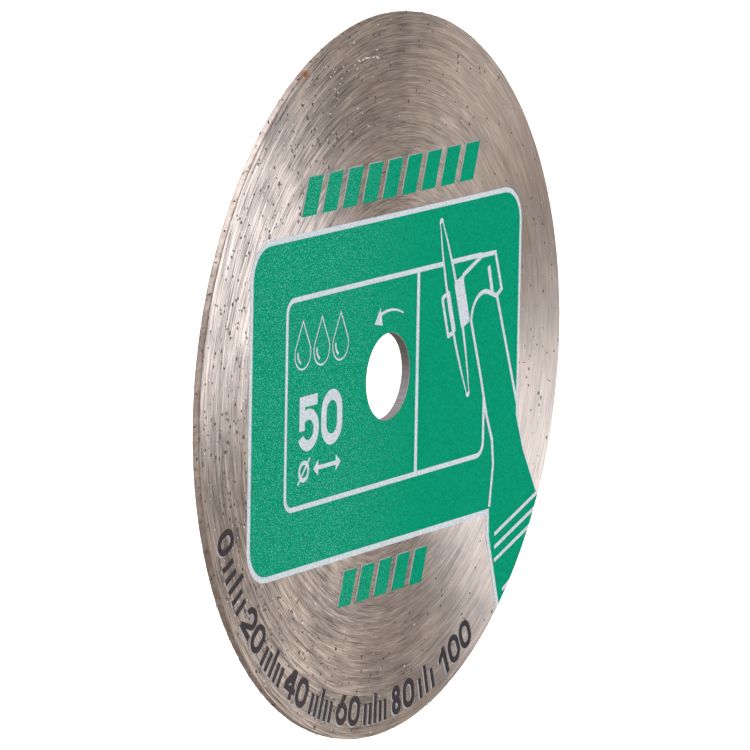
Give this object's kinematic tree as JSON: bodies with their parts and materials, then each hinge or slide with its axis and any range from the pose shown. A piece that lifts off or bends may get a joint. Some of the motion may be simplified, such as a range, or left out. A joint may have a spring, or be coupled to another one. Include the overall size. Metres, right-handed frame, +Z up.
{
  "type": "diamond blade",
  "caption": "Thin round continuous-rim diamond cutting blade with a plain arbor bore and a printed face, for small hand-held wet cutters.",
  "frame": {"origin": "centre of the arbor bore, half way through the blade's thickness", "axes": "+Y along the bore axis, out of the plain back face, so the printed face looks along -Y; +Z up across the print; +X to the right of someone who looks at the printed face"},
  "size_m": [0.0501, 0.0008, 0.0501],
  "materials": {
    "core_steel": "ground in fine near-concentric scratches",
    "rim_bond": "sintered metal bond, ground flush, with dark pits and crystals",
    "diamond_grit": "dark glassy crystals",
    "white_ink": "satin printed ink",
    "green_ink": "satin printed ink with fine grain and small wear specks",
    "black_ink": "satin printed ink"
  },
  "bodies": {
    "root": {"core": "core_steel", "diamond_rim": "rim_bond", "front_grit": "diamond_grit", "back_grit": "diamond_grit", "edge_grit": "diamond_grit", "panel_white_coat": "white_ink", "panel_green_coat": "green_ink", "top_row_white_coat": "white_ink", "top_row_green_coat": "green_ink", "low_row_white_coat": "white_ink", "low_row_green_coat": "green_ink", "scale_white_coat": "white_ink", "scale_black_coat": "black_ink"}
  },
  "joints": []
}
